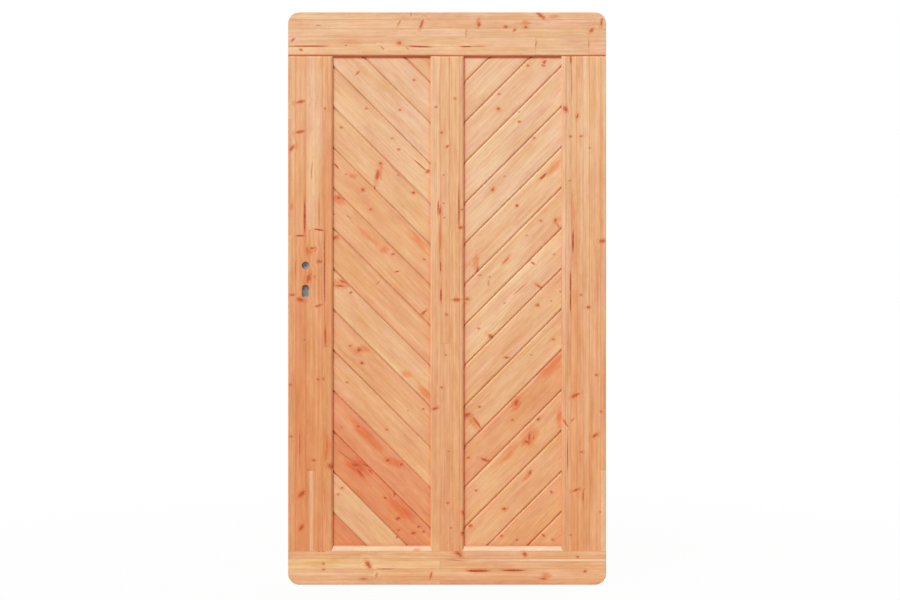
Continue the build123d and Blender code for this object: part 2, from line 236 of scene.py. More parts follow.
def make_stick():
    """One of the sticks that a beam is glued up from: its own tone and its own grain inside its box."""
    group, takes, gives = new_group(
        "Stick",
        [("Place", "Vector"), ("Tone", "Color"), ("Number", "Float"), ("Low", "Vector"), ("High", "Vector"),
         ("Own tone", "Color"), ("Own number", "Float")],
        [("Tone", "Color"), ("Number", "Float")])
    past = vectors(group, "SUBTRACT", takes["Place"], takes["Low"])
    short = vectors(group, "SUBTRACT", takes["High"], takes["Place"])
    depth = add(group, "ShaderNodeSeparateXYZ", {0: vectors(group, "MINIMUM", past, short)}).outputs
    depth = maths(group, "MINIMUM", depth[0], depth[2])
    inside = maths(group, "GREATER_THAN", depth, 0.0)
    glue = vectors(group, "MULTIPLY", takes["Own tone"], (0.86, 0.72, 0.62))
    own = blend(group, fade(group, depth, 0.0002, 0.0012), takes["Own tone"], glue)
    group.links.new(blend(group, inside, takes["Tone"], own), gives["Tone"])
    other = maths(group, "SUBTRACT", takes["Own number"], takes["Number"])
    group.links.new(maths(group, "MULTIPLY_ADD", inside, other, takes["Number"]), gives["Number"])
    return group


larch_grain, knot, stick = make_larch_grain(), make_knot(), make_stick()
TONES = {
    "pale": pigment(240, 204, 170),
    "milk": pigment(236, 190, 151),
    "straw": pigment(235, 186, 143),
    "wheat": pigment(234, 187, 134),
    "bisque": pigment(231, 183, 140),
    "sand": pigment(233, 180, 134),
    "honey": pigment(232, 173, 125),
    "amber": pigment(230, 165, 117),
    "salmon": pigment(229, 153, 107),
    "russet": pigment(227, 145, 98),
}
# For each kind of mark: how dark its core is, how red its surroundings, how olive its core, how far it
# bends the grain, how far its red spreads, how ragged it is, and its usual half length and half width in
# pixels of the picture. A mark in the lists below is its kind, its place in the picture and, where they
# aren't the usual ones, its half length, half width and lean in degrees. A stick is its left, right, top
# and foot in the picture and its tone.
KINDS = {
    "pin": (0.66, 0.50, 0.15, 0.5, 2.6, 1.0, 1.5, 1.15),
    "olive": (0.50, 0.10, 0.50, 0.5, 2.2, 1.0, 1.5, 1.05),
    "eye": (0.78, 0.85, 0.0, 0.8, 2.5, 1.6, 2.2, 1.6),
    "spike": (0.75, 0.70, 0.05, 0.7, 2.4, 1.1, 3.5, 1.6),
    "crack": (1.0, 0.60, 0.0, 0.0, 2.4, 0.25, 8.0, 0.6),
    "thin": (0.55, 0.30, 0.20, 0.0, 2.0, 0.25, 8.0, 0.45),
    "flush": (0.0, 0.85, 0.0, 0.2, 1.45, 0.0, 6.0, 3.0),
}
FLUSH_WIDTH = 0.8
RED_WOOD = (0.95, 0.56, 0.40)
HEART_LIGHT, HEART_DARK, HEART_OLIVE = pigment(202, 94, 50), pigment(140, 60, 32), pigment(158, 116, 60)
# How much darker and redder the wood is made towards the foot, and the heights between which it changes.
FOOT_DARKENING_TINT = (0.93, 0.72, 0.58)
FOOT_DARKENING_LOW, FOOT_DARKENING_HIGH = -1.0, 0.85
# Painted shade on the downward flank of each board's V and a painted highlight on its upward flank, with how
# far each reaches in from the board's edge.
PAINTED_VEE_SHADE = (0.89, 0.77, 0.70)
PAINTED_VEE_SHADE_REACH = (0.0045, 0.0015)
PAINTED_VEE_HIGHLIGHT = (1.10, 1.22, 1.38)
PAINTED_VEE_HIGHLIGHT_REACH = (0.0052, 0.0042)
# Painted shade in the corners where a piece meets another.
PAINTED_CORNER_SHADE = (0.84, 0.40, 0.30)
# A painted highlight along some arrises, and how far in it reaches.
PAINTED_ARRIS_HIGHLIGHT = (1.06, 1.16, 1.26)
ARRIS_HIGHLIGHT_WIDTH = 0.0045
END_GRAIN = 0.74
ALONG_THE_LEAF, UP_THE_LEAF = 0, 2


def larch(name, origin, turn, tone, number, sticks=(), marks=(), foot_darkening=0.0, streaks=0.5, vee=None,
          corners=(), edges=()):
    """Oiled larch for one piece. turn is how far its grain is turned about y from the x axis.

    butt is how much darker and redder the wood gets towards the foot. A board has a V at each edge, vee
    from its middle: the lower one is painted darker, as painted shade on its downward flank, and the upper
    one paler, as a painted highlight on its upward flank. The wood is also painted darker where it meets
    another piece, as painted shade: each of corners is an axis, a place on it, 1 or -1 for the side where
    the wood lies, how strong the painted shade is and how far it reaches. Along edges, written alike but
    for the reach, the wood is painted paler, as a painted highlight.
    """
    material = bpy.data.materials.new(name)
    material.use_nodes = True
    tree = material.node_tree
    tree.nodes.clear()
    coordinates = add(tree, "ShaderNodeTexCoord").outputs["Object"]
    feeds = {0: coordinates, 1: origin, 2: (0, turn, 0)}
    place = add(tree, "ShaderNodeMapping", feeds, vector_type="TEXTURE").outputs[0]
    ragged = maths(tree, "MULTIPLY", speckle(tree, place, (190.0, 190.0, 190.0), 3.0, 0.6), 1.9)
    flame = maths(tree, "MULTIPLY", speckle(tree, place, (24.0, 150.0, 150.0), 3.0, 0.7), 2.6)

    def to_grain(x, z):
        """A point of the leaf as it lies along and across this piece's grain."""
        x, z = x - origin[0], z - origin[2]
        return Vector((x * math.cos(turn) - z * math.sin(turn), 0, x * math.sin(turn) + z * math.cos(turn)))

    tone, number = TONES[tone], float(number)
    for left, right, top, foot, own_tone in sticks:
        ends = to_grain(leaf_x(left), leaf_z(top)), to_grain(leaf_x(right), leaf_z(foot))
        low = Vector([min(pair) for pair in zip(*ends)])
        high = Vector([max(pair) for pair in zip(*ends)])
        # Its grain is its own, chosen by where it lies.
        own = left * 0.137 + top * 0.0291
        out = use_group(tree, stick, {
            "Place": place, "Tone": tone, "Number": number, "Low": low, "High": high,
            "Own tone": TONES[own_tone], "Own number": own})
        tone, number = out["Tone"], out["Number"]
    grain, spots = place, Vector((0, 0, 0))
    for kind, x, y, *shape in marks:
        dark, flush, olive, swirl, spread, rough, long, wide = KINDS[kind]
        lean = 0.0
        if shape:
            long, wide, lean = shape
        if kind == "flush":
            wide *= FLUSH_WIDTH
        lean = math.radians(lean) + turn
        edge = flame if kind == "flush" else maths(tree, "MULTIPLY", ragged, rough)
        out = use_group(tree, knot, {
            "Grain": grain, "Marks": spots, "Raggedness": edge,
            "Centre": to_grain(leaf_x(x), leaf_z(y)), "Turn": (0, -lean, 0),
            "Size": (long * ACROSS_A_PIXEL, THROUGH, wide * UP_A_PIXEL),
            "Kind": (dark, flush, dark * olive), "Swirl": swirl, "Spread": spread})
        grain, spots = out["Grain"], out["Marks"]
    if foot_darkening:
        height = add(tree, "ShaderNodeSeparateXYZ", {0: coordinates}).outputs[2]
        rich = maths(tree, "MULTIPLY", fade(tree, height, FOOT_DARKENING_LOW, FOOT_DARKENING_HIGH), foot_darkening)
        tone = blend(tree, rich, tone, vectors(tree, "MULTIPLY", tone, FOOT_DARKENING_TINT))
    wood = use_group(tree, larch_grain, {"Grain": grain, "Number": number, "Tone": tone, "Streaks": streaks})
    spots = add(tree, "ShaderNodeSeparateXYZ", {0: spots}).outputs
    colour = blend(tree, spots[1], wood["Colour"], vectors(tree, "MULTIPLY", wood["Colour"], RED_WOOD))
    heart = blend(tree, fade(tree, ragged, -0.20, 0.25, 0.0, 1.0), HEART_LIGHT, HEART_DARK)
    heart = blend(tree, spots[2], heart, HEART_OLIVE)
    colour = blend(tree, spots[0], colour, heart)
    # The lower V of a board is painted darker, as painted shade on its downward flank, and the upper V paler,
    # as a painted highlight on its upward flank.
    if vee:
        across = add(tree, "ShaderNodeSeparateXYZ", {0: place}).outputs[2]
        start, end = (reach - vee for reach in PAINTED_VEE_SHADE_REACH)
        line = fade(tree, across, start, end, 0.0, 1.0)
        colour = blend(tree, line, colour, vectors(tree, "MULTIPLY", colour, PAINTED_VEE_SHADE))
        start, end = (vee - reach for reach in PAINTED_VEE_HIGHLIGHT_REACH)
        line = fade(tree, across, start, end, 0.0, 1.0)
        colour = blend(tree, line, colour, vectors(tree, "MULTIPLY", colour, PAINTED_VEE_HIGHLIGHT))
    # Near each corner the wood is painted darker, as painted shade; oil is the strongest such shade at a
    # point.
    if corners:
        here = add(tree, "ShaderNodeSeparateXYZ", {0: coordinates}).outputs
        oil = 0.0
        for axis, corner, side, much, reach in corners:
            gap = maths(tree, "MULTIPLY", maths(tree, "SUBTRACT", here[axis], corner), side)
            oil = maths(tree, "MAXIMUM", oil, fade(tree, gap, 0.0, reach, much))
        colour = blend(tree, oil, colour, vectors(tree, "MULTIPLY", colour, PAINTED_CORNER_SHADE))
    # Along each of edges the wood is painted paler, as a painted highlight; pale is the strongest one at a
    # point.
    if edges:
        here = add(tree, "ShaderNodeSeparateXYZ", {0: coordinates}).outputs
        pale = 0.0
        for axis, edge, side, much in edges:
            gap = maths(tree, "MULTIPLY", maths(tree, "SUBTRACT", here[axis], edge), side)
            pale = maths(tree, "MAXIMUM", pale, fade(tree, gap, 0.0, ARRIS_HIGHLIGHT_WIDTH, much))
        colour = blend(tree, pale, colour, vectors(tree, "MULTIPLY", colour, PAINTED_ARRIS_HIGHLIGHT))
    # The cut ends of the fibres drink more oil than the planed faces.
    facing = add(tree, "ShaderNodeNewGeometry").outputs["Normal"]
    way = Vector((math.cos(turn), 0, -math.sin(turn)))
    end = add(tree, "ShaderNodeVectorMath", {0: facing, 1: way}, operation="DOT_PRODUCT").outputs["Value"]
    end = fade(tree, maths(tree, "ABSOLUTE", end), 0.8, 1.0, 1.0, END_GRAIN)
    colour = stretched(tree, colour, end)
    bump = add(tree, "ShaderNodeBump", {"Strength": 0.25, "Distance": 0.0004, "Height": wood["Height"]})
    shader = add(tree, "ShaderNodeBsdfPrincipled", {
        "Base Color": colour, "Roughness": wood["Roughness"], "Normal": bump.outputs[0],
        "Specular IOR Level": 0.35})
    add(tree, "ShaderNodeOutputMaterial", {0: shader.outputs[0]})
    return material


def give(node, material):
    """Puts a finish on a piece of the model itself."""
    for place in frame["nodes"][node].material_slots:
        place.material = material


UPRIGHT = math.radians(90)
LOCK_STILE_STICKS = [
    (280, 295.7, 0, 600, "sand"), (280, 291.2, 119, 235, "honey"), (295.7, 306.2, 0, 235.7, "honey"),
    (295.7, 306.2, 235.7, 600, "amber"), (306.2, 322.8, 0, 230, "straw"), (306.2, 322.8, 230, 600, "honey"),
    (308.6, 314.9, 471, 600, "straw"), (310, 313.3, 471, 600, "pale"), (322.8, 340, 0, 346.8, "honey"),
    (322.8, 340, 111, 346.8, "amber"), (322.8, 340, 346.8, 600, "sand"),
]
LOCK_STILE_MARKS = [
    ("spike", 300.3, 101.8, 4.8, 1.4, 12), ("spike", 300.5, 131.8, 4.8, 1.5, 12),
    ("eye", 292.0, 148.2, 4.0, 1.6, 48), ("pin", 325, 108.5), ("thin", 311.8, 171, 11, 0.6, 86),
    ("crack", 300.5, 235.7, 4.6, 0.9, 0), ("crack", 319, 229.8, 5.4, 0.9, -10),
    ("flush", 291.7, 206, 4.5, 2.5, 90), ("crack", 304.7, 217, 18, 1.1, 90),
    ("eye", 312.3, 248.3, 2.6, 1.2, 0), ("thin", 319.2, 211, 15.8, 0.5, 90),
    ("crack", 324.5, 270, 41, 0.65, 90), ("crack", 325.3, 336.5, 9.5, 0.9, 90),
    ("flush", 310, 250.5, 5, 4.5, 0), ("thin", 295.5, 268, 8, 0.5, 90), ("eye", 308.7, 278, 4.6, 2.1, 70),
    ("pin", 314.4, 277), ("spike", 319.5, 261.5, 2.5, 1.5, 0), ("spike", 292.2, 295, 2.3, 1.2, 0),
    ("eye", 300.7, 299.8, 4.2, 1.7, -10), ("spike", 318, 305.8, 3.8, 1.0, 15), ("olive", 304.7, 339.6),
    ("pin", 318, 379.5), ("pin", 323.4, 379), ("pin", 290.5, 384.7), ("pin", 291.3, 436.5),
    ("thin", 299.7, 444, 12, 0.6, 90), ("flush", 327.3, 448.5, 13, 4, 90),
    ("eye", 330.8, 466.2, 3.2, 2.2, -30), ("pin", 313.9, 460.3, 1.9, 1.4, 0), ("olive", 308.5, 469.7),
    ("spike", 301.8, 494, 4.6, 2.2, 42), ("flush", 302, 527, 4, 3, 60), ("spike", 301.5, 528, 2.8, 1.4, 60),
]
MIDDLE_STILE_STICKS = [
    (425, 440.2, 0, 600, "straw"), (440.2, 449.4, 0, 343.3, "sand"), (440.2, 449.4, 343.3, 600, "straw"),
    (449.4, 459.5, 0, 600, "sand"), (459.5, 470, 0, 600, "sand"),
]
MIDDLE_STILE_MARKS = [
    ("pin", 455, 98.5), ("pin", 436, 107), ("pin", 441.5, 132.5), ("eye", 447.4, 146.4, 1.8, 1.1, 30),
    ("olive", 443.7, 175), ("olive", 443.7, 203.3), ("olive", 444.4, 217.7),
    ("spike", 438.2, 206.5, 5.5, 0.9, 88), ("spike", 439.6, 211, 3.6, 1.3, 90),
    ("flush", 440, 238, 24, 2, 90), ("crack", 458.8, 206, 24, 0.6, 90), ("flush", 459.8, 212, 22, 1.5, 90),
    ("pin", 461.7, 209.6), ("eye", 460.5, 227.2, 1.8, 1.5, 0), ("crack", 440.5, 266, 5.7, 0.5, 90),
    ("crack", 440.9, 295, 7, 0.9, 90), ("eye", 456.4, 299.8, 3.4, 1.6, 0), ("pin", 446.5, 314.5),
    ("pin", 441.6, 387.5), ("spike", 434.8, 408.8, 3.2, 1.5, 20), ("olive", 446, 355),
    ("olive", 449, 451.5), ("pin", 447.9, 503), ("eye", 463.8, 512.5, 2.2, 2.0, 0),
    ("eye", 463.6, 533.5, 2.0, 1.8, 0), ("olive", 451, 528),
]
HINGE_STILE_STICKS = [
    (555, 565.7, 0, 600, "milk"), (565.7, 571, 0, 600, "bisque"), (571, 577, 0, 600, "sand"),
    (571, 577, 290, 600, "honey"), (577, 583, 0, 275, "straw"), (577, 583, 275, 600, "sand"),
    (583, 589.5, 0, 600, "straw"), (589.5, 600.5, 0, 600, "sand"), (600.5, 610, 0, 470, "sand"),
    (600.5, 610, 470, 600, "pale"),
]
HINGE_STILE_MARKS = [
    ("spike", 565.5, 109, 3.5, 2.2, -60), ("eye", 577.2, 116, 2.3, 1.4, 80), ("pin", 570.5, 136.5),
    ("pin", 581, 136.3), ("olive", 589.7, 148), ("crack", 570.8, 59.5, 4.5, 0.9, 90),
    ("thin", 571.5, 78, 20, 0.5, 90), ("olive", 569.6, 180.7), ("flush", 572.7, 213, 19, 2.2, 90),
    ("crack", 572.9, 241, 12, 0.8, 90), ("spike", 602.3, 241, 3.2, 2.0, 0),
    ("crack", 570.4, 301.5, 11.5, 0.7, 90), ("crack", 570.4, 283, 12.5, 0.8, 90), ("pin", 581, 295),
    ("eye", 588, 307.3, 1.8, 1.4, 0), ("pin", 596.4, 375), ("spike", 575.2, 395.6, 4.6, 1.6, 25),
    ("pin", 601, 411.8), ("thin", 572.5, 420, 3.0, 0.9, 45), ("spike", 565.5, 423, 4.5, 0.9, -55),
    ("crack", 567.5, 455.5, 16, 0.5, 90), ("spike", 595, 435.5, 3.5, 1.6, 35), ("pin", 581.5, 452),
    ("spike", 576, 490, 3.8, 1.2, 20), ("crack", 583, 495.5, 7.7, 0.6, 90), ("olive", 600.5, 512),
    ("olive", 571, 535),
]
STILE_STREAKS = 0.95
LEAF_MIDDLE = -0.5
# Each stile is painted paler, as a painted highlight, at its top end under the top rail and, on the lock and
# middle stiles, along their long arrises beside the boards.
STILE_HEAD_PAINTED_HIGHLIGHT = (UP_THE_LEAF, 0.7585, -1, 1.0)
LOCK_STILE_PAINTED_HIGHLIGHT = (ALONG_THE_LEAF, -0.86, -1, 1.0)
MIDDLE_STILE_PAINTED_HIGHLIGHT_LEFT = (ALONG_THE_LEAF, -0.5495, 1, 1.0)
MIDDLE_STILE_PAINTED_HIGHLIGHT_RIGHT = (ALONG_THE_LEAF, -0.448, -1, 1.0)
give("lock_stile", larch("Lock stile larch", (-0.93, 0, 0), UPRIGHT, "honey", 1, LOCK_STILE_STICKS,
                         LOCK_STILE_MARKS, 1.3, STILE_STREAKS, edges=[STILE_HEAD_PAINTED_HIGHLIGHT, LOCK_STILE_PAINTED_HIGHLIGHT]))
give("middle_stile", larch("Middle stile larch", (LEAF_MIDDLE, 0, 0), UPRIGHT, "honey", 2,
                           MIDDLE_STILE_STICKS, MIDDLE_STILE_MARKS, 0.8, STILE_STREAKS,
                           edges=[STILE_HEAD_PAINTED_HIGHLIGHT, MIDDLE_STILE_PAINTED_HIGHLIGHT_LEFT, MIDDLE_STILE_PAINTED_HIGHLIGHT_RIGHT]))
give("hinge_stile", larch("Hinge stile larch", (-0.07, 0, 0), UPRIGHT, "honey", 3, HINGE_STILE_STICKS,
                          HINGE_STILE_MARKS, 0.85, STILE_STREAKS, edges=[STILE_HEAD_PAINTED_HIGHLIGHT]))


# The rails.
# The top and bottom rails run the whole width of the leaf, of the same larch, with their four outer corners
# rounded. They are glued over the stiles' tenons. The bottom one slopes under the boards, to shed rain.
LEVEL = 0.0
TOP_RAIL_STICKS = [
    (280, 620, 0, 19.5, "bisque"), (280, 620, 19.5, 28.3, "straw"), (280, 465.8, 28.3, 37, "milk"),
    (465.8, 620, 28.3, 37, "bisque"), (280, 535.5, 37, 60, "straw"), (535.5, 588.8, 37, 60, "bisque"),
    (588.8, 620, 37, 60, "straw"),
]
TOP_RAIL_MARKS = [
    ("crack", 308, 46.1, 22, 0.75, 0), ("crack", 420, 46.5, 13, 0.9, -2), ("crack", 466, 46.5, 7, 0.8, 0),
    ("thin", 478, 46.3, 8, 0.7, 0), ("pin", 345.8, 45.3, 1.2, 0.8, 0), ("thin", 318.5, 25.4, 3, 0.6, 0),
    ("spike", 292.7, 39.8, 2.3, 1.1, 40), ("spike", 301, 49.7, 1.8, 1.1, -35),
    ("eye", 399.3, 42.8, 2.0, 1.3, 0), ("flush", 400, 43.5, 5, 2.5, 0),
    ("olive", 382.5, 48.2, 3.4, 0.9, -45), ("olive", 407, 48, 3.2, 0.7, -45),
    ("olive", 399, 23.2, 4.4, 1.0, 62), ("spike", 421.7, 24, 5.2, 1.2, 71),
    ("olive", 411, 14.5, 2.6, 1.0, 80), ("eye", 479, 24.6, 2.2, 1.9, 85),
    ("flush", 478.5, 22.5, 4.5, 3, 80), ("eye", 505.8, 26.8, 1.8, 1.2, 0),
    ("eye", 514.6, 29.6, 1.9, 1.3, 40), ("eye", 525.7, 27.2, 1.8, 1.3, 0), ("flush", 526, 23, 5, 4, 0),
    ("eye", 540.5, 15.4, 5.2, 1.8, -36), ("flush", 554, 16, 6, 2.5, 0),
    ("spike", 591.3, 30.6, 2.8, 1.5, 45), ("spike", 601.5, 22, 3.6, 1.2, 85),
    ("thin", 536, 43.7, 3.2, 0.7, 80), ("thin", 588.8, 44, 4, 0.5, 90), ("thin", 466, 33, 5, 0.5, 85),
]
# The first three sticks paint light and shade on the rain slope: its pale tone is partly its own paler wood
# and partly a painted highlight, and the thin honey and salmon band along its crest is painted shade under
# the boards' feet.
BOTTOM_RAIL_STICKS = [
    (280, 620, 530, 551.3, "pale"), (280, 440, 530, 546.8, "honey"), (440, 620, 530, 546.8, "salmon"),
    (280, 620, 551.3, 558.5, "sand"), (280, 440, 558.5, 569, "wheat"), (440, 620, 558.5, 569, "sand"),
    (280, 620, 569, 580, "sand"), (280, 440, 580, 600, "sand"), (440, 620, 580, 600, "amber"),
    (497, 620, 558.8, 561.2, "pale"),
]
BOTTOM_RAIL_MARKS = [
    ("spike", 368.3, 564.6, 4.8, 2.4, -61), ("crack", 386.5, 569, 9.5, 0.45, 0),
    ("olive", 376.5, 574.3, 3.2, 1.6, 90), ("olive", 363.5, 579, 4.0, 1.3, 0),
    ("crack", 477.7, 570.9, 12.6, 1.5, 0), ("crack", 513.5, 570.5, 12.5, 1.1, 0),
    ("eye", 524.8, 554.5, 2.6, 1.7, -50), ("pin", 577.5, 557), ("flush", 546, 576, 5, 4.5, 0),
    ("spike", 543.5, 578.3, 3.4, 0.8, 0), ("spike", 585, 571.5, 1.8, 1.2, 20), ("pin", 323.5, 564),
    ("pin", 323.5, 569.5), ("pin", 319, 551), ("pin", 323.5, 551), ("spike", 431, 575.5, 3.0, 1.0, 75),
    ("eye", 458.6, 553.8, 4.6, 1.5, -38), ("flush", 457.5, 552.5, 6, 4, -30),
    ("thin", 456, 559.9, 10, 0.45, 0), ("flush", 416.4, 550, 4.0, 2.0, 0),
]
RAIL_STREAKS = 0.8
OPENING_FOOT, OPENING_HEAD = -0.778, 0.762
# The top rail's lower arris is painted darker, as painted shade.
TOP_RAIL_PAINTED_SHADE = (UP_THE_LEAF, OPENING_HEAD + 0.0015, 1, 1.0, 0.0065)
# Just above that arris the rail's face is painted paler, as a painted highlight.
TOP_RAIL_PAINTED_HIGHLIGHT = (UP_THE_LEAF, OPENING_HEAD + 0.006, 1, 1.0)
give("top_rail", larch("Top rail larch", (LEAF_MIDDLE, 0, 0.83), LEVEL, "straw", 4, TOP_RAIL_STICKS,
                       TOP_RAIL_MARKS, 0.0, RAIL_STREAKS, corners=[TOP_RAIL_PAINTED_SHADE], edges=[TOP_RAIL_PAINTED_HIGHLIGHT]))
give("bottom_rail", larch("Bottom rail larch", (LEAF_MIDDLE, 0, -0.84), LEVEL, "honey", 5,
                          BOTTOM_RAIL_STICKS, BOTTOM_RAIL_MARKS, 0.0, RAIL_STREAKS))


# The diagonal boards.
# Each panel is fifteen tongued and grooved larch boards at 45 degrees, with a V at each joint. They lie loose
# in the frame's groove, with their ends cut to it, and run down to the middle stile from both sides.
BOARD_COVER = 0.0903
BOARD_THICKNESS = 0.020
BOARD_VEE = 0.005
BOARD_GAP = 0.001
TONGUE = 0.007
TONGUE_THICKNESS = 0.006
TONGUE_PLAY = 0.0002
JOINT_SHIFT = -0.009
MIDDLE_NUMBER = 9.5
BOARDS = 15
ARRIS = 0.0005
PANEL_FOOT, PANEL_HEAD = -0.793, 0.774
TUCK = 0.012
# How far and how strongly the boards are painted darker next to the frame, as painted shade: a narrow band at
# the sides and foot, a wider one at the left, and one under the top rail.
NARROW_PAINTED_SHADE_WIDTH, WIDE_PAINTED_SHADE_WIDTH, HEAD_PAINTED_SHADE_WIDTH = 0.012, 0.035, 0.0105
FOOT_PAINTED_SHADE_STRENGTH, HEAD_PAINTED_SHADE_STRENGTH = 0.25, 0.9


def make_board_tree():
    """The rule for a board: its section swept along, leant over, and cut to the frame's groove."""
    tree = bpy.data.node_groups.new("Diagonal board", "GeometryNodeTree")
    for label, kind in (("Geometry", "Geometry"), ("Number", "Int"), ("Lean", "Float"), ("Cover", "Float"),
                        ("Thickness", "Float"), ("Vee", "Float"), ("Joint gap", "Float"), ("Tongue", "Float"),
                        ("Tongue thickness", "Float"), ("Tongue play", "Float"), ("Joint shift", "Float"),
                        ("Groove low", "Vector"), ("Groove high", "Vector"), ("Wood", "Material")):
        tree.interface.new_socket(label, in_out="INPUT", socket_type="NodeSocket" + kind)
    tree.interface.new_socket("Geometry", in_out="OUTPUT", socket_type="NodeSocketGeometry")
    takes, gives = tree.nodes.new("NodeGroupInput").outputs, tree.nodes.new("NodeGroupOutput").inputs

    def block(length, thickness, width, rows=2):
        size = add(tree, "ShaderNodeCombineXYZ", {0: length, 1: thickness, 2: width}).outputs[0]
        return add(tree, "GeometryNodeMeshCube", {"Size": size, "Vertices Z": rows}).outputs["Mesh"]

    def moved(mesh, x=0.0, y=0.0, z=0.0):
        by = add(tree, "ShaderNodeCombineXYZ", {0: x, 1: y, 2: z}).outputs[0]
        return add(tree, "GeometryNodeTransform", {"Geometry": mesh, "Translation": by}).outputs[0]

    def cut(operation, *meshes):
        node = add(tree, "GeometryNodeMeshBoolean", (), operation=operation, solver="EXACT")
        if operation == "DIFFERENCE":
            tree.links.new(meshes[0], node.inputs["Mesh 1"])
            meshes = meshes[1:]
        for mesh in meshes:
            tree.links.new(mesh, node.inputs["Mesh 2"])
        return node.outputs["Mesh"]

    length = 3.0
    width = maths(tree, "SUBTRACT", takes["Cover"], takes["Joint gap"])
    half = maths(tree, "DIVIDE", width, 2.0)
    # The body has four rows of points across: the outer rows go in by the V, and the inner ones out to it.
    body = block(length, takes["Thickness"], width, 4)
    at = add(tree, "ShaderNodeSeparateXYZ", {0: add(tree, "GeometryNodeInputPosition").outputs[0]}).outputs
    outer = maths(tree, "GREATER_THAN", maths(tree, "ABSOLUTE", at[2]),
                  maths(tree, "MULTIPLY", half, 0.9))
    inner_z = maths(tree, "MULTIPLY", maths(tree, "SIGN", at[2]), maths(tree, "SUBTRACT", half, takes["Vee"]))
    new_z = maths(tree, "ADD", maths(tree, "MULTIPLY", outer, at[2]),
                  maths(tree, "MULTIPLY", maths(tree, "SUBTRACT", 1.0, outer), inner_z))
    inwards = maths(tree, "MULTIPLY", outer, maths(tree, "SIGN", at[1]))
    new_y = maths(tree, "SUBTRACT", at[1], maths(tree, "MULTIPLY", inwards, takes["Vee"]))
    shaped = add(tree, "ShaderNodeCombineXYZ", {0: at[0], 1: new_y, 2: new_z}).outputs[0]
    body = add(tree, "GeometryNodeSetPosition", {"Geometry": body, "Position": shaped}).outputs[0]
    # The tongue stands on the upper edge, and the next board's lower edge is grooved for it.
    tongue = block(length, takes["Tongue thickness"], maths(tree, "MULTIPLY", takes["Tongue"], 2.0))
    body = cut("UNION", body, moved(tongue, z=half))
    mouth = maths(tree, "MULTIPLY_ADD", takes["Tongue play"], 2.0, takes["Tongue thickness"])
    groove = block(length, mouth, maths(tree, "MULTIPLY", takes["Tongue"], 2.0))
    body = cut("DIFFERENCE", body, moved(groove, z=maths(tree, "MULTIPLY", half, -1.0)))
    # A board with the middle number would lie in the middle of the leaf.
    step = maths(tree, "SUBTRACT", takes["Number"], MIDDLE_NUMBER)
    rise = maths(tree, "MULTIPLY_ADD", step, takes["Cover"], takes["Joint shift"])
    lean = add(tree, "ShaderNodeCombineXYZ", {1: takes["Lean"]}).outputs[0]
    feeds = {"Geometry": moved(body, z=rise), "Rotation": lean, "Translation": (LEAF_MIDDLE, 0, 0)}
    body = add(tree, "GeometryNodeTransform", feeds).outputs[0]
    size = vectors(tree, "SUBTRACT", takes["Groove high"], takes["Groove low"])
    window = add(tree, "GeometryNodeMeshCube", {"Size": size}).outputs["Mesh"]
    centre = stretched(tree, vectors(tree, "ADD", takes["Groove high"], takes["Groove low"]), 0.5)
    window = add(tree, "GeometryNodeTransform", {"Geometry": window, "Translation": centre}).outputs[0]
    body = cut("INTERSECT", body, window)
    body = add(tree, "GeometryNodeRealizeInstances", {"Geometry": body}).outputs[0]
    body = add(tree, "GeometryNodeSetMaterial", {"Geometry": body, "Material": takes["Wood"]}).outputs[0]
    tree.links.new(body, gives["Geometry"])
    return tree


board_tree = make_board_tree()
SOCKETS = {item.name: item.identifier for item in board_tree.interface.items_tree if item.in_out == "INPUT"}
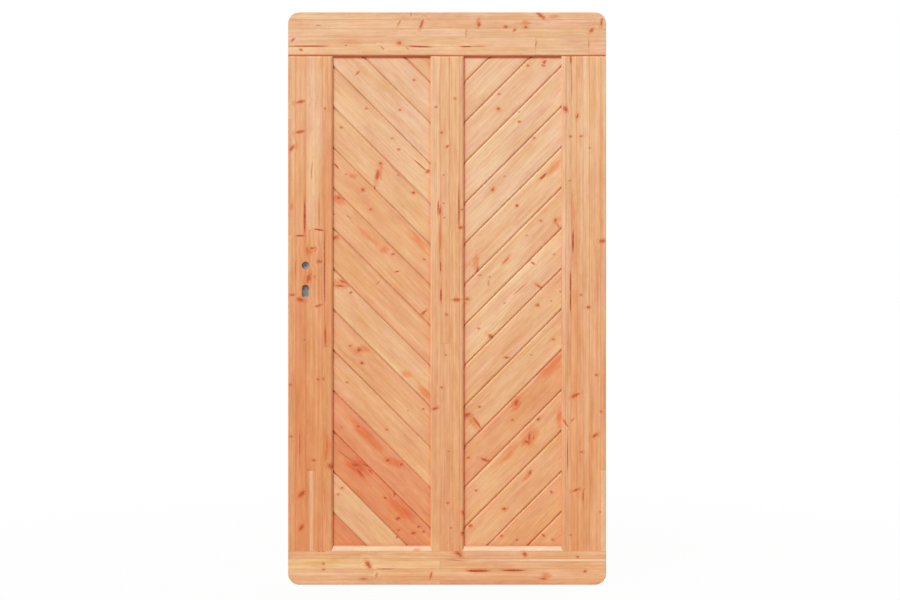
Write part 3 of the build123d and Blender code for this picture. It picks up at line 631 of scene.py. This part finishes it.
# For each panel: the boards' lean, the number that their grains are counted from, the groove's two ends,
# how strong the painted shade is at its left and right side, how strong a wider painted shade is at the
# left, and the boards' tones, from the foot up, and marks.
PANELS = {
    "left": {
        "lean": math.radians(45),
        "grain": 20,
        "groove": (-0.872, -0.540),
        "oil": (0.25, 0.3),
        "shade": 0.0,
        "tones": ["russet", "sand", "russet", "salmon", "honey", "honey", "sand", "honey", "honey", "honey",
                  "sand", "straw", "milk", "milk", "sand"],
        "marks": [
            ("spike", 357.5, 72.5, 3.0, 0.9, 45), ("pin", 414, 79.5), ("pin", 366, 108),
            ("pin", 400, 109.5), ("pin", 341, 127), ("olive", 392, 138), ("pin", 398.7, 149),
            ("olive", 398, 175), ("eye", 380.2, 163.2, 1.6, 1.4, 0), ("eye", 377.4, 175, 5.4, 1.8, 80),
            ("flush", 378.5, 173, 9, 4, 85), ("spike", 377, 184.5, 3.6, 0.9, 78),
            ("crack", 336, 165.5, 3.8, 0.8, -48), ("olive", 346, 174), ("flush", 353, 175.5, 4, 2.8, 0),
            ("crack", 421, 165.5, 9.5, 0.6, -42), ("eye", 428, 171, 2.4, 1.6, 40),
            ("eye", 413.5, 192.4, 1.8, 1.4, 0), ("eye", 362.8, 189.5, 2.0, 1.6, 0), ("pin", 370.5, 209.4),
            ("eye", 338, 197.4, 3.4, 1.6, -20), ("flush", 339, 199.5, 8, 6, -20), ("olive", 333.7, 214),
            ("thin", 348.7, 216.5, 4, 0.6, -45), ("flush", 368, 236, 15, 3.5, -42),
            ("flush", 383.5, 249.6, 5, 4, 0), ("pin", 392.3, 254.2), ("flush", 335.5, 237.8, 5, 3, 0),
            ("eye", 335, 237.3, 2.4, 1.4, 20), ("flush", 417, 240, 14, 5, -48), ("pin", 424.4, 258.8),
            ("eye", 342, 281.3, 3.2, 1.1, -28), ("eye", 340.5, 286, 4.6, 1.1, -5),
            ("flush", 341, 283.5, 10, 6, -10), ("pin", 350.5, 292.5), ("spike", 397, 271.5, 2.3, 0.8, 10),
            ("thin", 378, 282.5, 3, 0.6, 45), ("spike", 424, 312.3, 4.0, 1.2, 42), ("pin", 349.8, 346),
            ("eye", 359, 350, 2.6, 2.1, 20), ("flush", 362, 350, 8, 4, 0),
            ("eye", 361.7, 363.3, 1.8, 1.6, 0), ("pin", 346.8, 382.8), ("flush", 406.5, 374.5, 6, 5, 0),
            ("flush", 425, 395, 9, 6, -45), ("pin", 423.4, 409.3), ("olive", 408, 411), ("pin", 386.7, 430),
            ("flush", 366, 436, 24, 6, -45), ("pin", 358.2, 427.2), ("olive", 341.8, 427.6),
            ("eye", 387.3, 460, 1.6, 1.3, 0), ("eye", 400.3, 464.7, 1.7, 1.4, 0),
            ("flush", 393, 462, 11, 4, -30), ("eye", 356, 465.5, 4.0, 1.5, 0),
            ("eye", 359.5, 473, 6.2, 1.3, -52), ("thin", 344.5, 456, 10, 0.8, -38),
            ("spike", 365, 466.7, 4.6, 0.8, -5), ("spike", 370, 471.5, 2.6, 0.8, -45),
            ("flush", 357, 467, 12, 9, -30), ("eye", 385, 498.5, 1.6, 1.2, -30),
            ("spike", 394.5, 494, 3.5, 1.0, 75), ("flush", 401, 510, 17, 8, -45),
            ("eye", 398.8, 518, 2.1, 1.3, 15), ("eye", 413.5, 533, 2.0, 1.4, 10), ("pin", 418, 527),
            ("pin", 399, 530), ("pin", 423, 532), ("pin", 397, 538), ("pin", 341.8, 488.4),
            ("pin", 338, 495),
        ],
    },
    "right": {
        "lean": math.radians(-45),
        "grain": 40,
        "groove": (-0.460, -0.128),
        "oil": (0.85, 0.0),
        "shade": 0.16,
        "tones": ["amber", "amber", "honey", "honey", "amber", "sand", "sand", "straw", "straw", "straw",
                  "milk", "milk", "milk", "milk", "milk"],
        "marks": [
            ("eye", 544.5, 61.5, 2.0, 1.6, 60), ("pin", 528, 65), ("pin", 543.3, 64.4),
            ("eye", 498.5, 108.3, 1.8, 1.6, 0), ("pin", 499, 93.5), ("olive", 519.3, 111.5),
            ("eye", 519.4, 121.3, 1.6, 1.1, 0), ("pin", 534.3, 137.5), ("crack", 543.5, 176, 5.0, 1.2, 45),
            ("flush", 555, 166, 11, 5, 45), ("olive", 504.6, 176), ("eye", 493, 189.3, 2.0, 1.4, 50),
            ("eye", 517.1, 205.4, 1.5, 1.4, 0), ("pin", 541, 220.7), ("eye", 555.7, 220, 2.2, 1.6, 60),
            ("thin", 558, 225, 4.0, 0.9, -60), ("olive", 527, 235.7), ("spike", 506, 260.3, 4.4, 0.8, 45),
            ("flush", 506, 260, 8, 2.5, 48), ("olive", 554.5, 254.3), ("flush", 476, 262, 10, 3.5, 88),
            ("spike", 476.8, 269, 3.8, 1.2, 80), ("olive", 480, 275.2, 2.4, 1.4, 20),
            ("olive", 489.7, 277.2, 1.4, 1.2, 0), ("olive", 488.6, 283.4, 3.4, 1.3, 86),
            ("spike", 533.2, 263.2, 2.6, 1.0, -30), ("pin", 530.6, 260.8),
            ("spike", 539.4, 286.5, 4.0, 1.3, -38), ("eye", 467.6, 299.1, 2.0, 1.4, 0),
            ("olive", 465.5, 303), ("thin", 520, 289, 9, 0.6, 42), ("olive", 560.7, 291.4),
            ("eye", 537.9, 305.4, 1.7, 1.3, -20), ("olive", 551.4, 301), ("olive", 504.6, 303),
            ("pin", 478.8, 328.6), ("spike", 491, 336.5, 4.0, 1.7, -30), ("pin", 553.6, 339.5),
            ("olive", 531.4, 355), ("spike", 506.5, 357.8, 2.6, 1.0, 0), ("flush", 552, 366, 17, 8, 48),
            ("eye", 516.5, 403, 3.6, 2.2, 75), ("flush", 516.5, 404, 7, 4.5, 60), ("pin", 512.5, 420),
            ("pin", 479.5, 407.2), ("eye", 467.3, 415.5, 3.0, 2.2, 30), ("flush", 474, 422, 12, 5, -58),
            ("spike", 476.5, 422.5, 7.0, 1.1, -54), ("pin", 468.5, 458.3),
            ("spike", 485.3, 460.5, 4.6, 1.3, -18), ("eye", 538.5, 419.5, 1.7, 1.2, 30),
            ("flush", 559.8, 420, 10, 3.5, 90), ("eye", 529.5, 437.5, 4.4, 1.3, 85),
            ("eye", 526.5, 441.5, 2.6, 1.2, 20), ("eye", 533.6, 438.5, 2.6, 1.0, 70),
            ("flush", 529.5, 438.5, 12, 9, 60), ("flush", 509, 454, 15, 4, 45),
            ("eye", 530, 473, 2.2, 1.3, 50), ("flush", 527, 476.5, 7, 3, 50), ("pin", 476, 491),
            ("pin", 551.5, 492.5, 1.8, 1.3, -40), ("eye", 504.2, 509.5, 2.0, 1.5, 0),
            ("eye", 470.5, 526.5, 1.9, 1.6, 0), ("pin", 501.5, 536.5), ("pin", 517, 540.5),
            ("spike", 543.5, 536, 2.0, 1.1, -40), ("pin", 553, 540.5),
        ],
    },
}


def marks_on(marks, lean, number):
    """The marks that lie between a board's two joints."""
    chosen = []
    for mark in marks:
        x, z = leaf_x(mark[1]) - LEAF_MIDDLE, leaf_z(mark[2])
        across = x * math.sin(lean) + z * math.cos(lean)
        if math.floor((across - JOINT_SHIFT) / BOARD_COVER) + math.ceil(MIDDLE_NUMBER) == number:
            chosen.append(mark)
    return chosen


for side, panel in PANELS.items():
    for number in range(1, BOARDS + 1):
        lean = panel["lean"]
        label = f"{side}_diagonal_board_{number:02d}"
        low, high = panel["groove"]
        rise = (number - MIDDLE_NUMBER) * BOARD_COVER + JOINT_SHIFT
        origin = (LEAF_MIDDLE + rise * math.sin(lean), 0, rise * math.cos(lean))
        # Painted shade on the board next to the frame: at both sides, more widely at the left, at the foot
        # and under the top rail.
        corners = [(ALONG_THE_LEAF, low + TUCK, 1, panel["oil"][0], NARROW_PAINTED_SHADE_WIDTH),
                   (ALONG_THE_LEAF, low + TUCK, 1, panel["shade"], WIDE_PAINTED_SHADE_WIDTH),
                   (ALONG_THE_LEAF, high - TUCK, -1, panel["oil"][1], NARROW_PAINTED_SHADE_WIDTH),
                   (UP_THE_LEAF, OPENING_FOOT, 1, FOOT_PAINTED_SHADE_STRENGTH, NARROW_PAINTED_SHADE_WIDTH),
                   (UP_THE_LEAF, OPENING_HEAD, -1, HEAD_PAINTED_SHADE_STRENGTH, HEAD_PAINTED_SHADE_WIDTH)]
        wood = larch(label + "_larch", origin, lean, panel["tones"][number - 1], panel["grain"] + number, (),
                     marks_on(panel["marks"], lean, number), vee=BOARD_COVER / 2, corners=corners)
        board = bpy.data.objects.new(label, bpy.data.meshes.new(label))
        bpy.context.scene.collection.objects.link(board)
        rule = board.modifiers.new("Diagonal board", "NODES")
        rule.node_group = board_tree
        for name, value in (
                ("Number", number), ("Lean", lean), ("Cover", BOARD_COVER), ("Thickness", BOARD_THICKNESS),
                ("Vee", BOARD_VEE), ("Joint gap", BOARD_GAP), ("Tongue", TONGUE),
                ("Tongue thickness", TONGUE_THICKNESS), ("Tongue play", TONGUE_PLAY),
                ("Joint shift", JOINT_SHIFT), ("Groove low", (low, -0.02, PANEL_FOOT)),
                ("Groove high", (high, 0.02, PANEL_HEAD)), ("Wood", wood)):
            rule[SOCKETS[name]] = value
        arris = board.modifiers.new("Eased arris", "BEVEL")
        arris.width, arris.segments, arris.limit_method = ARRIS, 1, "ANGLE"
        bpy.context.view_layer.update()
        shape = board.evaluated_get(bpy.context.evaluated_depsgraph_get())
        board_mesh = bpy.data.meshes.new_from_object(shape)
        board.modifiers.clear()
        board.data = board_mesh
        board_mesh.name = label
        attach(board, "root")
        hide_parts(f"{side}_board_{number:02d}")


# The lock.
# A mortise lock let into the stile's edge: a zinc-plated case with its follower, a blank in the cylinder's
# place, and a brushed steel face plate, latch and bolt. Countersunk screws hold the plate and the blank.
def make_zinc(name, dark, light):
    """Dull zinc: soft grey with faint crystals."""
    material = bpy.data.materials.new(name)
    material.use_nodes = True
    tree = material.node_tree
    shader = tree.nodes["Principled BSDF"]
    place = add(tree, "ShaderNodeTexCoord").outputs["Object"]
    crystals = add(tree, "ShaderNodeTexVoronoi", {"Vector": place, "Scale": 260.0})
    cells = add(tree, "ShaderNodeSeparateColor", {0: crystals.outputs["Color"]}).outputs[0]
    haze = add(tree, "ShaderNodeTexNoise", {"Vector": place, "Scale": 60.0, "Detail": 4.0}).outputs[0]
    shade = maths(tree, "MULTIPLY_ADD", cells, 0.35, maths(tree, "MULTIPLY", haze, 0.65))
    tree.links.new(blend(tree, shade, dark, light), shader.inputs["Base Color"])
    tree.links.new(fade(tree, shade, 0.2, 0.8, 0.62, 0.42), shader.inputs["Roughness"])
    shader.inputs["Metallic"].default_value = 0.75
    return material


def make_brushed_steel():
    """Stainless steel brushed up and down."""
    material = bpy.data.materials.new("Brushed steel")
    material.use_nodes = True
    tree = material.node_tree
    shader = tree.nodes["Principled BSDF"]
    place = add(tree, "ShaderNodeTexCoord").outputs["Object"]
    lines = speckle(tree, place, (4200.0, 4200.0, 60.0), 3.0, 0.6)
    tree.links.new(blend(tree, fade(tree, lines, -0.2, 0.2, 0.0, 1.0), pigment(176, 176, 178),
                         pigment(206, 206, 208)), shader.inputs["Base Color"])
    tree.links.new(fade(tree, lines, -0.2, 0.2, 0.40, 0.26), shader.inputs["Roughness"])
    bump = add(tree, "ShaderNodeBump", {"Strength": 0.1, "Distance": 0.0001, "Height": lines})
    tree.links.new(bump.outputs[0], shader.inputs["Normal"])
    shader.inputs["Metallic"].default_value = 1.0
    return material


plating = make_zinc("Dull zinc plating", pigment(140, 132, 135), pigment(156, 149, 152))
# The blank's zinc is painted darker than the case's, as painted shade on it deep in the key hole.
painted_shade_casting = make_zinc("Dull zinc casting", pigment(115, 108, 111), pigment(128, 121, 124))
brushed = make_brushed_steel()
for node in ("lock_case", "lock_follower"):
    give(node, plating)
give("cylinder_blank", painted_shade_casting)
for node in ("lock_face_plate", "latch_bolt", "dead_bolt", "blank_screw", "face_plate_screw_top",
             "face_plate_screw_foot"):
    give(node, brushed)


# The floor, the lamps and the camera.
# A plain white floor and a white surround, lit by one large soft lamp above and to the left of the gate, a
# weaker one behind it and the surround itself. The camera stands straight in front, as in the photograph.
FLOOR_HALF = 30.0
GLOW = 0.44
GLOW_COLOUR = (1.0, 0.87, 0.77)
SHADE_STARTS, SHADE_ENDS, SHADED_WHITE = 0.8, 3.0, 0.97


def seen_directly(tree):
    """1 for what the camera, a reflection or a clear piece shows, and 0 for light."""
    path = add(tree, "ShaderNodeLightPath").outputs
    seen = maths(tree, "MAXIMUM", path["Is Camera Ray"], path["Is Glossy Ray"])
    return maths(tree, "MAXIMUM", seen, path["Is Transmission Ray"])


floor_mesh = bpy.data.meshes.new("floor")
around = [(-1, -1), (1, -1), (1, 1), (-1, 1)]
floor_mesh.from_pydata([(x * FLOOR_HALF, y * FLOOR_HALF, LEAF_FOOT) for x, y in around], [], [(0, 1, 2, 3)])
floor = bpy.data.objects.new("floor", floor_mesh)
bpy.context.scene.collection.objects.link(floor)
paint = bpy.data.materials.new("White floor")
paint.use_nodes = True
tree = paint.node_tree
tree.nodes.clear()
grey = add(tree, "ShaderNodeBsdfDiffuse", {"Color": (0.6, 0.6, 0.6, 1)}).outputs[0]
white = add(tree, "ShaderNodeEmission", {"Color": (1, 1, 1, 1), "Strength": 1.0}).outputs[0]
apart = vectors(tree, "SUBTRACT", add(tree, "ShaderNodeTexCoord").outputs["Object"],
                (LEAF_MIDDLE, 0.0, LEAF_FOOT))
clear = fade(tree, vectors(tree, "LENGTH", apart), SHADE_STARTS, SHADE_ENDS, SHADED_WHITE, 1.0)
share = maths(tree, "MULTIPLY", seen_directly(tree), clear)
mixed = add(tree, "ShaderNodeMixShader", {0: share, 1: grey, 2: white}).outputs[0]
add(tree, "ShaderNodeOutputMaterial", {0: mixed})
floor_mesh.materials.append(paint)

world = bpy.data.worlds.new("White surround")
bpy.context.scene.world = world
world.use_nodes = True
tree = world.node_tree
tree.nodes.clear()
seen = seen_directly(tree)
light = fade(tree, seen, 0.0, 1.0, GLOW, 1.0)
hue = blend(tree, seen, GLOW_COLOUR + (1.0,), (1.0, 1.0, 1.0, 1.0))
glow = add(tree, "ShaderNodeBackground", {"Color": hue, "Strength": light}).outputs[0]
add(tree, "ShaderNodeOutputWorld", {0: glow})

for name, energy, softness, colour, way in (
        ("Key lamp", 1.95, 26, (0.98, 1.01, 1.01), (-0.42, -1.0, 0.62)),
        ("Lamp behind", 1.1, 50, (1.0, 1.0, 1.0), (0.6, 1.0, 0.7))):
    lamp_data = bpy.data.lights.new(name, "SUN")
    lamp_data.energy, lamp_data.angle, lamp_data.color = energy, math.radians(softness), colour
    lamp = bpy.data.objects.new(name, lamp_data)
    lamp.rotation_euler = Vector(way).to_track_quat("Z", "Y").to_euler()
    bpy.context.scene.collection.objects.link(lamp)

CAMERA_ALONG, CAMERA_DISTANCE, CAMERA_HEIGHT = -0.4908, 5.0, -0.0047
SENSOR_WIDTH = 36.0
FRAME_WIDTH = 2.8287
LEAF_FACE = 0.022
camera_data = bpy.data.cameras.new("Camera")
camera_data.sensor_width = SENSOR_WIDTH
camera_data.lens = SENSOR_WIDTH * (CAMERA_DISTANCE - LEAF_FACE) / FRAME_WIDTH
camera = bpy.data.objects.new("Camera", camera_data)
camera.location = (CAMERA_ALONG, -CAMERA_DISTANCE, CAMERA_HEIGHT)
camera.rotation_euler = (UPRIGHT, 0, 0)
bpy.context.scene.collection.objects.link(camera)
bpy.context.scene.camera = camera
bpy.context.scene.view_settings.view_transform = "Standard"
